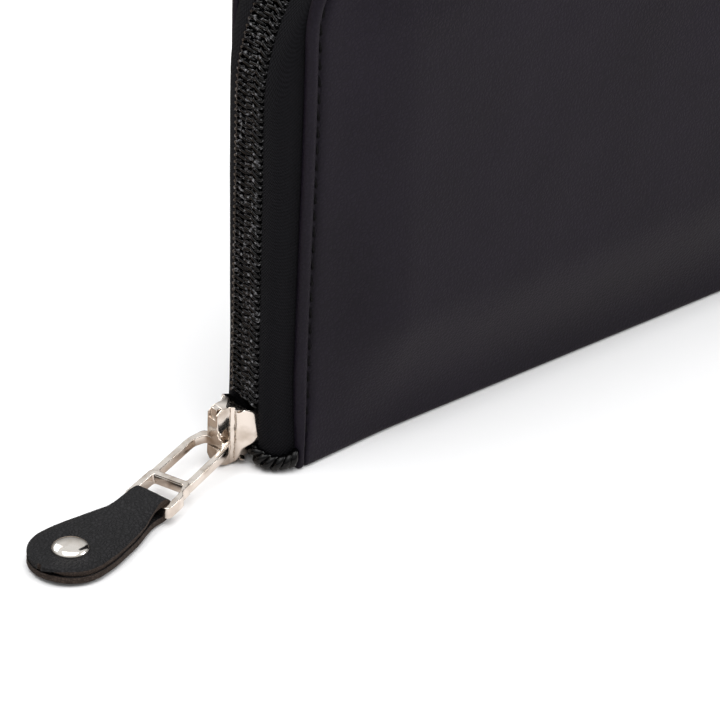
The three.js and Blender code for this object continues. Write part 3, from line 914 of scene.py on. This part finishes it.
def roundedBlock(size, place, bevel):
    bm = bmesh.new()
    bmesh.ops.create_cube(bm, size=1)
    bmesh.ops.scale(bm, verts=bm.verts, vec=size)
    bmesh.ops.bevel(bm, geom=bm.edges, offset=bevel, offset_type="OFFSET", affect="EDGES", segments=3,
                    profile=0.5, material=-1)
    for vert in bm.verts:
        vert.co = Vector(place(*vert.co))
    bmesh.ops.recalc_face_normals(bm, faces=bm.faces)
    return bm


def cutAway(piece, cutters):
    for index, cutter in enumerate(cutters):
        tool = makePiece("cutter", cutter, brightNickel)
        modifier = piece.modifiers.new("cut", "BOOLEAN")
        modifier.operation = "DIFFERENCE"
        modifier.solver = "EXACT"
        modifier.object = tool
        settle(piece)
        bpy.data.objects.remove(tool)


def slideBlock(out, across, up, bevel):
    # a rounded block between two distances out, across and up
    size = (out[1] - out[0], across[1] - across[0], up[1] - up[0])
    middle = (sum(out) / 2, sum(across) / 2, sum(up) / 2)
    return roundedBlock(size, lambda x, y, z: slidePoint(middle[0] + x, middle[1] + y, middle[2] + z), bevel)


plate = warpedGrid(44, 40, outerPlate)
bmesh.ops.recalc_face_normals(plate, faces=plate.faces)
plateShell = makePiece("slider_shell", plate, brightNickel)
if plateShell.data.polygons[len(plateShell.data.polygons) // 2].normal.x > 0:
    plateShell.data.flip_normals()
addSolidify(plateShell, slider["plate"] * mm)
addBevel(plateShell, 0.16 * mm, 2, 50)
finish(settle(plateShell), "zip_slider", ["slider_body"])

inner = warpedGrid(18, 30, innerPlate)
innerShell = makePiece("slider_inner", inner, brightNickel)
addSolidify(innerShell, slider["innerPlate"] * mm, 0.0)
addBevel(innerShell, 0.2 * mm, 2, 50)
finish(settle(innerShell), "zip_slider")

post = slideBlock((-2.4, 3.0), (-0.9, 0.9), (-4.3, -1.4), 0.4)
finish(makePiece("slider_wedge", post, brightNickel, 50), "zip_slider")

crown = dict(
    outer=[(2.6, 4.9), (4.4, 5.1), (5.5, 4.95), (6.5, 4.2), (6.55, -3.0), (6.05, -4.2), (4.7, -4.8),
           (2.6, -4.9)],
    window=[(3.35, 1.4), (4.25, 1.75), (5.25, 1.4), (5.85, 0.7), (5.85, -1.8), (5.25, -2.5), (4.25, -2.7),
            (3.35, -2.4)],
)
crownPlate = ringPlate(crown["outer"], crown["window"], -slider["crownHalf"], slider["crownHalf"], slidePoint)
crownPiece = makePiece("slider_crown_shell", crownPlate, brightNickel)
cutAway(crownPiece, [
    slideBlock((5.2, 7.6), (-2, 2), (-1.45, 0.1), 0.05),      # the ring's way in
    slideBlock((5.35, 7.6), (-0.72, 0.95), (3.35, 6), 0.05),    # round the spring's end
])
addBevel(crownPiece, 0.2 * mm, 3, 35)
shadeSmooth(settle(crownPiece).data, 38)
finish(crownPiece, "zip_slider", ["slider_crown"])
tongueBlock = slideBlock((4.65, 6.15), (-0.4, 0.95), (3.0, 4.95), 0.15)
finish(makePiece("slider_crown_tongue", tongueBlock, brightNickel, 40), "zip_slider")
print("slider ready")

# Pull ring: a cast frame with a cross bar, stepped out round the strap
pullRing = dict(
    neck=[(0.55, -2.5), (0.55, 2.5), (-2.4, 3.45), (-12.5, 3.6), (-12.5, -3.6), (-2.4, -3.45)],
    neckWindow=[(-0.6, -1.5), (-0.6, 1.5), (-2.2, 2.4), (-11.2, 2.5), (-11.2, -2.5), (-2.2, -2.4)],
    head=[(-11.5, -3.55), (-11.5, 3.6), (-18.5, 3.75), (-18.5, -4.4), (-14.6, -4.4), (-13.9, -3.6)],
    headWindow=[(-12.4, -2.7), (-12.4, 2.6), (-17.3, 2.75), (-17.3, -3.4), (-14.8, -3.4), (-13.2, -3.0)],
    neckTall=0.72, headTall=0.95, corner=0.8,
)
ringPlace = Vector(jointPlace["pull_ring_hinge"]["pos_m"])
ringAcross = Vector(jointPlace["pull_ring_hinge"]["axis"]).normalized()
strapPlace = Vector(jointPlace["pull_strap_hinge"]["pos_m"])
strapAcross = Vector(jointPlace["pull_strap_hinge"]["axis"]).normalized()
ringRun = ringPlace - strapPlace
ringAlong = (ringRun - ringAcross * ringRun.dot(ringAcross)).normalized()
ringUp = ringAlong.cross(ringAcross).normalized()


def ringPoint(along, across, up):
    return ringPlace + ringAlong * (along * mm) + ringAcross * (across * mm) + ringUp * (up * mm)


def softened(corners, reach):
    # the outline with each corner drawn as a small curve
    points = []
    for before, corner, after in zip(corners[-1:] + corners[:-1], corners, corners[1:] + corners[:1]):
        here = Vector(corner)
        into, away = Vector(before) - here, Vector(after) - here
        start = here + into.normalized() * min(reach, into.length * 0.45)
        end = here + away.normalized() * min(reach, away.length * 0.45)
        for step in range(5):
            t = step / 4
            points.append(tuple(start * (1 - t) ** 2 + here * (2 * t * (1 - t)) + end * t * t))
    return points


ringMesh = bmesh.new()
for outline, window, high in (("neck", "neckWindow", "neckTall"), ("head", "headWindow", "headTall")):
    high = pullRing[high]
    outside = softened(pullRing[outline], pullRing["corner"])
    inside = softened(pullRing[window], pullRing["corner"] * 0.6)
    part = ringPlate(outside, inside, -high, high, lambda x, y, z: ringPoint(x, z, y))
    joinInto(ringMesh, part)
ringPiece = makePiece("pull_ring_frame", ringMesh, brightNickel)
addBevel(ringPiece, 0.26 * mm, 3, 45)
shadeSmooth(settle(ringPiece).data, 40)
finish(ringPiece, "pull_ring", ["pull_ring"])

# Pull strap: one strip of pebbled hide folded round the end bar, its two halves riveted together
strap = dict(
    layer=1.0, loop=1.4, rivetAt=16.95, end=6.2, top=-0.06, under=-1.14,
    columns=26, runSteps=34, endSteps=14,
    swell=0.14, dimple=0.05,
    press=0.16, pressAt=1.5, pressWide=1.9,  # the dip round the rivet
    halfWidths=[2.85, 2.9, 3.25, 3.8, 4.35, 4.8, 5.2, 5.6, 5.92, 6.13, 6.2],
)
strapAlong = strapAcross.cross(Vector((0, 0, 1))).normalized()


def strapPoint(along, across, up):
    return strapPlace + strapAlong * (along * mm) + strapAcross * (across * mm) + Vector((0, 0, up * mm))


def strapHalf(s, extra):
    return lerpList(strap["halfWidths"], s / strap["rivetAt"]) + extra * smooth(s / 8)


def strapRun(side):
    # places along one half of the strip from the loop outwards: distance, height, half width
    run = []
    level = strap["top"] if side > 0 else strap["under"]
    extra = 0.0 if side > 0 else 0.16
    for i in range(1, strap["runSteps"] + 1):
        s = strap["rivetAt"] * i / strap["runSteps"]
        near = smooth((s - 0.2) / 5.2)
        run.append((s, mix(side * strap["loop"], level, near), strapHalf(s, extra)))
    for i in range(1, strap["endSteps"] + 1):
        angle = math.radians(87 * i / strap["endSteps"])
        reach = strap["end"] + extra
        run.append((strap["rivetAt"] + reach * math.sin(angle), level, reach * math.cos(angle)))
    return run


loop, narrow = strap["loop"], strap["halfWidths"][0]
turns = [math.pi * i / 14 for i in range(15)]
bend = [(-loop * math.sin(a), -loop * math.cos(a), narrow) for a in turns]
strapPath = strapRun(-1)[::-1] + bend + strapRun(1)


def strapSkin(u, v):
    s, up, half = strapPath[round(u * (len(strapPath) - 1))]
    across = half * (2 * v - 1)
    bulge = strap["swell"] * noise.noise(Vector((s * 0.16, across * 0.2, up * 0.3)))
    bulge += strap["dimple"] * noise.noise(Vector((s, across, up)) * 0.8)
    if s > 1 and up > -0.9:
        away = math.hypot(s - strap["rivetAt"], across) - strap["pressAt"]
        bulge -= strap["press"] * math.exp(-(away / strap["pressWide"]) ** 2) - 0.05
        bulge -= strap["press"] * smooth((abs(across) / half - 0.86) / 0.14)
    return strapPoint(-s, across, up + bulge)


strip = warpedGrid(len(strapPath) - 1, strap["columns"], strapSkin, (56, 12))
stripPiece = makePiece("strap_strip", strip, strapHide)
stripPiece.data.materials.append(cutEdge)
thickness = addSolidify(stripPiece, strap["layer"] * mm, 0.0)
thickness.material_offset_rim = 1
addBevel(stripPiece, 0.1 * mm, 2, 60)
finish(settle(stripPiece), "pull_strap", ["strap_leather"])

rivet = dict(
    profile=[(0, 1.42), (0.8, 1.39), (1.5, 1.3), (2.1, 1.14), (2.5, 0.94), (2.76, 0.7), (2.86, 0.46),
             (2.78, 0.3), (2.3, 0.26), (0, 0.26)],
)


def lathe(profile, steps, place):
    bm = bmesh.new()
    verts = [bm.verts.new((radius, 0, up)) for radius, up in profile]
    edges = [bm.edges.new(pair) for pair in zip(verts, verts[1:])]
    bmesh.ops.spin(bm, geom=verts + edges, cent=(0, 0, 0), axis=(0, 0, 1), angle=math.tau, steps=steps,
                   use_merge=True)
    bmesh.ops.remove_doubles(bm, verts=bm.verts, dist=0.001)
    for vert in bm.verts:
        vert.co = Vector(place(*vert.co))
    bmesh.ops.recalc_face_normals(bm, faces=bm.faces)
    return bm


cap = lathe(rivet["profile"], 48, lambda x, y, z: strapPoint(-strap["rivetAt"] + x, y, z))
finish(makePiece("rivet_dome", cap, rivetNickel, 50), "pull_strap", ["rivet_cap"])
print("pull ready")

# Inside: a lining panel over each board, four card pockets a side, and a lining strip along the spine
insideSet = dict(
    inset=4 * mm, low=3.8 * mm, liningDepth=2.7 * mm, pocketDepth=3.4 * mm,
    panel=(110, 60), panelThick=0.4 * mm, ripple=0.1 * mm,
    rows=4, first=14 * mm, pitch=12 * mm, tall=11.6 * mm, reach=82 * mm,
    thick=0.5 * mm, lean=0.8 * mm, sag=0.3 * mm,
    stitch=2.6 * mm, stitchLong=1.9 * mm, stitchRadius=0.17 * mm,
)


def stitchRun(ends, surface, outward):
    # small dashes between two (x, z) ends, on a surface that gives y; their ends dip into it
    (x0, z0), (x1, z1) = ends
    run = math.hypot(x1 - x0, z1 - z0)
    count = max(int(run / insideSet["stitch"]), 1)
    lines = []
    for i in range(count):
        dash = []
        for t in (-0.5, 0.0, 0.5):
            share = (i + 0.5 + t * insideSet["stitchLong"] / insideSet["stitch"]) / count
            x, z = mix(x0, x1, share), mix(z0, z1, share)
            lift = -0.12 * mm if t else 0.06 * mm
            dash.append((x, surface(x, z) + outward * lift, z, 0.8 if t else 1.0))
        lines.append(dash)
    return lines


def sheetPiece(name, columns, rows, place, uvScale, material, thick, bevel=0.12 * mm, towards=None):
    bm = warpedGrid(columns, rows, place, uvScale)
    bmesh.ops.recalc_face_normals(bm, faces=bm.faces)
    piece = makePiece(name, bm, material)
    middle = piece.data.polygons[len(piece.data.polygons) // 2]
    if towards is not None and middle.normal.dot(Vector(towards)) < 0:
        piece.data.flip_normals()
    addSolidify(piece, thick)
    addBevel(piece, bevel, 2, 60)
    return settle(piece)


def liningPanel(name, side, cover):
    def place(u, v):
        z = mix(insideSet["low"], tall - insideSet["inset"], 1 - (1 - v) ** 1.5)
        x = mix(-1, 1, u) * coverReach(z, insideSet["inset"])
        wave = noise.noise(Vector((x * 34, side, z * 34))) * smooth(z / (16 * mm) - 0.3)
        depth = insideSet["liningDepth"] + insideSet["panelThick"] + insideSet["ripple"] * abs(wave)
        return x, side * (coverHalf(x, z) - depth), z

    piece = sheetPiece(name + "_lining_panel", *insideSet["panel"], place, (182, 85), liningCloth,
                       insideSet["panelThick"], towards=(0, -side, 0))
    return finish(piece, cover, [name + "_lining"])


def pocketDepth(x, share):
    # a pocket's mouth leans away from the cover, and sags a little between its seams
    column = math.sin(math.pi * abs(x) / insideSet["reach"]) ** 2
    return insideSet["pocketDepth"] + insideSet["lean"] * share + insideSet["sag"] * column * share ** 2


def cardPocket(name, side, cover, row):
    low = insideSet["first"] + row * insideSet["pitch"]

    def place(u, v):
        x = mix(-1, 1, u) * insideSet["reach"]
        z = low + insideSet["tall"] * v
        y = coverHalf(x, z) - pocketDepth(x, v) - insideSet["thick"]
        return x, side * y, z

    piece = sheetPiece(f"{name}_pocket_{row + 1}", 90, 8, place, (164, 12), cardLeather, insideSet["thick"],
                       0.16 * mm, (0, -side, 0))
    finish(piece, cover, [f"{name}_card_pocket_{row + 1}"])

    def surface(x, z):
        share = (z - low) / insideSet["tall"]
        return side * (coverHalf(x, z) - pocketDepth(x, share) - insideSet["thick"])

    reach, top = insideSet["reach"] - 1.4 * mm, low + insideSet["tall"] - 1.6 * mm
    runs = [((-reach, top), (reach, top))]
    runs += [((x, low + 0.8 * mm), (x, top - 1.5 * mm)) for x in (-reach, 0, reach)]
    return [line for run in runs for line in stitchRun(run, surface, -side)]


for name, side in sides:
    cover = name + "_cover"
    liningPanel(name, side, cover)
    seams = [line for row in range(insideSet["rows"]) for line in cardPocket(name, side, cover, row)]
    pocketSewing = tubes(name + "_pocket_sewing", seams, insideSet["stitchRadius"], sewingThread)
    finish(pocketSewing, cover)


stripSet = dict(reach=91 * mm, half=4.2 * mm, top=3.02 * mm, thick=0.36 * mm, ripple=0.08 * mm)


def spineStrip(u, v):
    x, y = mix(-1, 1, u) * stripSet["reach"], mix(-1, 1, v) * stripSet["half"]
    return x, y, stripSet["top"] + stripSet["ripple"] * noise.noise(Vector((x * 60, y * 60, 3)))


liningStrip = sheetPiece("spine_lining_strip", 120, 8, spineStrip, (182, 8.4), liningCloth, stripSet["thick"],
                         towards=(0, 0, 1))
finish(liningStrip, "spine", ["spine_lining"])

# Gussets: one inward fold from each cover's lining to the coin pocket's ends
gussetSet = dict(
    outer=88.4 * mm, fold=80.4 * mm, middle=0.9 * mm, low=4.2 * mm, high=66 * mm, thick=0.4 * mm,
    gap=0.1 * mm, wave=0.14 * mm, sway=0.25 * mm,
    bendFrom=1.3 * mm, bendTo=4.2 * mm,      # from the spine's share to the cover's
)


def gusset(hand, side, node):
    def place(u, v):
        z = mix(gussetSet["low"], gussetSet["high"], v)
        wave = noise.noise(Vector((u * 2, hand * 3 + side, z * 55)))
        reach = gussetSet["outer"] - (gussetSet["outer"] - gussetSet["fold"]) * math.sin(math.pi * u) ** 0.75
        far = coverHalf(gussetSet["outer"], z) - insideSet["pocketDepth"]
        far -= gussetSet["thick"] + gussetSet["gap"]
        y = mix(far, gussetSet["middle"], u) + gussetSet["wave"] * wave * math.sin(math.pi * u)
        return hand * (reach + gussetSet["sway"] * wave), side * y, z

    piece = sheetPiece(node + "_fold", 16, 44, place, (14, 62), cardLeather, gussetSet["thick"], 0.1 * mm,
                       (hand, 0, 0))
    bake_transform(piece)
    finish(piece, None, [node])


for handName, hand in (("left", -1), ("right", 1)):
    for name, side in sides:
        gusset(hand, side, f"gusset_{handName}_{name}")
print("inside ready")

# Coin pocket: two soft walls bound round three edges, with a small zip along the mouth
coin = dict(
    reach=76 * mm, low=3.5 * mm, top=67.9 * mm, half=2.2 * mm, thick=0.4 * mm,
    bulge=0.55 * mm, ripple=0.16 * mm,
    edge=1.0 * mm, edgeHalf=1.9 * mm,
    tapeReach=70 * mm, tapeLow=60 * mm, tapeHigh=68.3 * mm, tapeOut=1.78 * mm,
    tapeThick=0.34 * mm, tapeWave=0.06 * mm,
    coilEnd=57.6 * mm, coilHeight=69.25, coilPitch=1.3 * mm, coilLine=0.19 * mm,
    coilTurn=[(1.75, -0.5, -0.25), (0.6, -0.55, -0.1), (-0.1, -0.2, 0.0), (-0.1, 0.2, 0.0),
              (0.6, 0.52, 0.12), (1.75, 0.45, 0.4)],
    sliderAt=62 * mm, pinHeight=72.6 * mm,
)


def coinWall(name, side):
    def swell(x, z):
        rise = (z - coin["low"]) / (coin["top"] - coin["low"])
        share = math.sin(math.pi * (x / coin["reach"] + 1) / 2) * math.sin(math.pi * rise)
        wave = noise.noise(Vector((x * 26, side * 4, z * 26)))
        return coin["bulge"] * math.sqrt(max(share, 0)) + coin["ripple"] * wave * max(share, 0) ** 0.3

    def surface(x, z):
        return side * (coin["half"] + coin["thick"] + swell(x, z))

    def place(u, v):
        x, z = mix(-1, 1, u) * coin["reach"], mix(coin["low"], coin["top"], v)
        return x, surface(x, z), z

    wall = sheetPiece(f"coin_{name}_panel", 110, 48, place, (152, 64), liningCloth, coin["thick"],
                      towards=(0, side, 0))
    finish(wall, "spine", [f"coin_{name}_wall"])
    near, low, top = coin["reach"] - 1.6 * mm, coin["low"] + 1.6 * mm, coin["top"] - 1.4 * mm
    runs = [((-near, top), (near, top)), ((-near + 2 * mm, low), (near - 2 * mm, low))]
    runs += [((x, low), (x, top - 2 * mm)) for x in (-near, near)]
    seams = [line for run in runs for line in stitchRun(run, surface, side)]
    wallSewing = tubes(f"coin_{name}_sewing", seams, insideSet["stitchRadius"], sewingThread)
    finish(wallSewing, "spine")


def coinTape(name, side):
    def place(u, v):
        x, z = mix(-1, 1, u) * coin["tapeReach"], mix(coin["tapeLow"], coin["tapeHigh"], v)
        wave = noise.noise(Vector((x * 90, side, z * 90)))
        return x, side * (coin["tapeOut"] + coin["tapeWave"] * wave), z

    tape = sheetPiece(f"coin_{name}_tape", 120, 6, place, (140, 8.3), tapeCloth, coin["tapeThick"],
                      towards=(0, side, 0))
    finish(tape, "spine", [f"coin_{name}_zip_tape"])


def coinCoil(name, side, shift):
    pitch = coin["coilPitch"]
    first = 0.4 * mm - coin["tapeReach"]
    line = []
    for i in range(int((coin["coilEnd"] + coin["tapeReach"]) / pitch)):
        for across, rise, along in coin["coilTurn"]:
            x = first + (i + shift) * pitch + along * mm
            line.append((x, side * (0.15 + across) * mm, (coin["coilHeight"] + rise) * mm))
    coil = tubes(f"coin_{name}_coil", [line], coin["coilLine"], coilNylon)
    finish(coil, "spine", [f"coin_{name}_zip_coil"])


def plainBlock(low, high, bevel):
    size = tuple((b - a) * mm for a, b in zip(low, high))
    middle = tuple((a + b) / 2 * mm for a, b in zip(low, high))
    return roundedBlock(size, lambda x, y, z: (middle[0] + x, middle[1] + y, middle[2] + z), bevel * mm)


for index, (name, side) in enumerate(sides):
    coinWall(name, side)
    coinTape(name, side)
    coinCoil(name, side, index / 2)

# The binding is a rounded strip down one end, along the foot and up the other end
hemSet = dict(inset=0.95 * mm, corner=3 * mm, lead=0.05 * mm)
hemX, hemZ = hemSet["inset"] - coin["reach"], coin["low"] + hemSet["inset"]
hem = [(hemX, coin["top"] - 0.2 * mm), (hemX, hemZ + hemSet["corner"] + hemSet["lead"])]
for k in range(1, 8):
    angle = math.pi * k / 16
    x = hemX + hemSet["corner"] * (1 - math.cos(angle))
    hem.append((x, hemZ + hemSet["corner"] * (1 - math.sin(angle))))
hem += [(hemX + hemSet["corner"] + hemSet["lead"], hemZ)]
hem += [(-x, z) for x, z in reversed(hem)]


def hemSkin(u, v):
    index = round(v * (len(hem) - 1))
    before, after = hem[max(index - 1, 0)], hem[min(index + 1, len(hem) - 1)]
    ahead = Vector((after[0] - before[0], 0, after[1] - before[1])).normalized()
    turn = math.tau * u
    across = coin["edgeHalf"] * math.copysign(abs(math.cos(turn)) ** 0.45, math.cos(turn))
    place = Vector((hem[index][0], across, hem[index][1]))
    return place + Vector((ahead.z, 0, -ahead.x)) * (coin["edge"] * 0.95 * math.sin(turn))


hemBm = warpedGrid(20, len(hem) - 1, hemSkin)
bmesh.ops.remove_doubles(hemBm, verts=hemBm.verts, dist=0.001 * mm)
bmesh.ops.holes_fill(hemBm, edges=hemBm.edges, sides=0)
bmesh.ops.recalc_face_normals(hemBm, faces=hemBm.faces)
finish(makePiece("coin_binding", hemBm, cardLeather, 60), "spine", ["coin_pocket_edge"])

# Small metal parts, in millimetres: stops, the coin zip's slider and its tab
for name, low, high, node in (
    ("coin_clamp_left", (-72, -2, 68.5), (-70.3, 2, 70.3), "coin_stop_left"),
    ("coin_clamp_right", (68, -2, 68.5), (69.7, 2, 70.3), "coin_stop_right"),
    ("zip_end_clamp", (97.2, -2.2, 6.7), (99.4, 2.2, 9.7), "zip_end_stop"),
):
    clamp = makePiece(name, plainBlock(low, high, 0.35), brightNickel, 45)
    finish(clamp, "spine", [node])
coinX = coin["sliderAt"] / mm
coinBody = plainBlock((coinX - 4, -2.6, 70.45), (coinX + 4, 2.6, 71.4), 0.3)
joinInto(coinBody, plainBlock((coinX - 4, -1.1, 66.9), (coinX + 4, 1.1, 67.85), 0.25))
joinInto(coinBody, plainBlock((coinX - 1, -0.75, 67.4), (coinX + 3, 0.75, 70.9), 0.25))
coinShell = makePiece("coin_slider_shell", coinBody, brightNickel, 45)
finish(coinShell, "coin_slider", ["coin_slider_body"])
archHalf = [(-1.7, 71.1), (-1.72, 72.2), (-1.65, 73.1), (-1.3, 73.6), (-0.7, 73.75)]
archSpots = archHalf + [(0, 73.8)] + [(-x, z) for x, z in reversed(archHalf)]
arch = [(coin["sliderAt"] + x * mm, 0, z * mm) for x, z in archSpots]
finish(tubes("coin_slider_arch", [arch], 0.42 * mm, brightNickel, 3), "coin_slider")
tabOuter = [(coinX + 0.4, -2.3), (coinX + 0.4, 2.3), (coinX - 13, 2.4), (coinX - 13, -2.4)]
tabWindow = [(coinX - 0.45, -1.4), (coinX - 0.45, 1.4), (coinX - 4.6, 1.4), (coinX - 4.6, -1.4)]
tab = ringPlate(softened(tabOuter, 2.2), softened(tabWindow, 0.6), -0.38, 0.38,
                lambda x, y, z: (x * mm, z * mm, coin["pinHeight"] + y * mm))
tabPiece = makePiece("coin_pull_tab", tab, brightNickel)
addBevel(tabPiece, 0.14 * mm, 2, 45)
finish(settle(tabPiece), "coin_pull", ["coin_pull"])
print("coin pocket ready")

# Carried over as they are: hidden boards and the rivet's post
for node, material in (
    ("front_board", fibreBoard), ("back_board", fibreBoard),
    ("spine_board", fibreBoard), ("rivet_post", rivetNickel),
):
    for materialSlot in frame["nodes"][node].material_slots:
        materialSlot.material = material
print("carried parts ready")
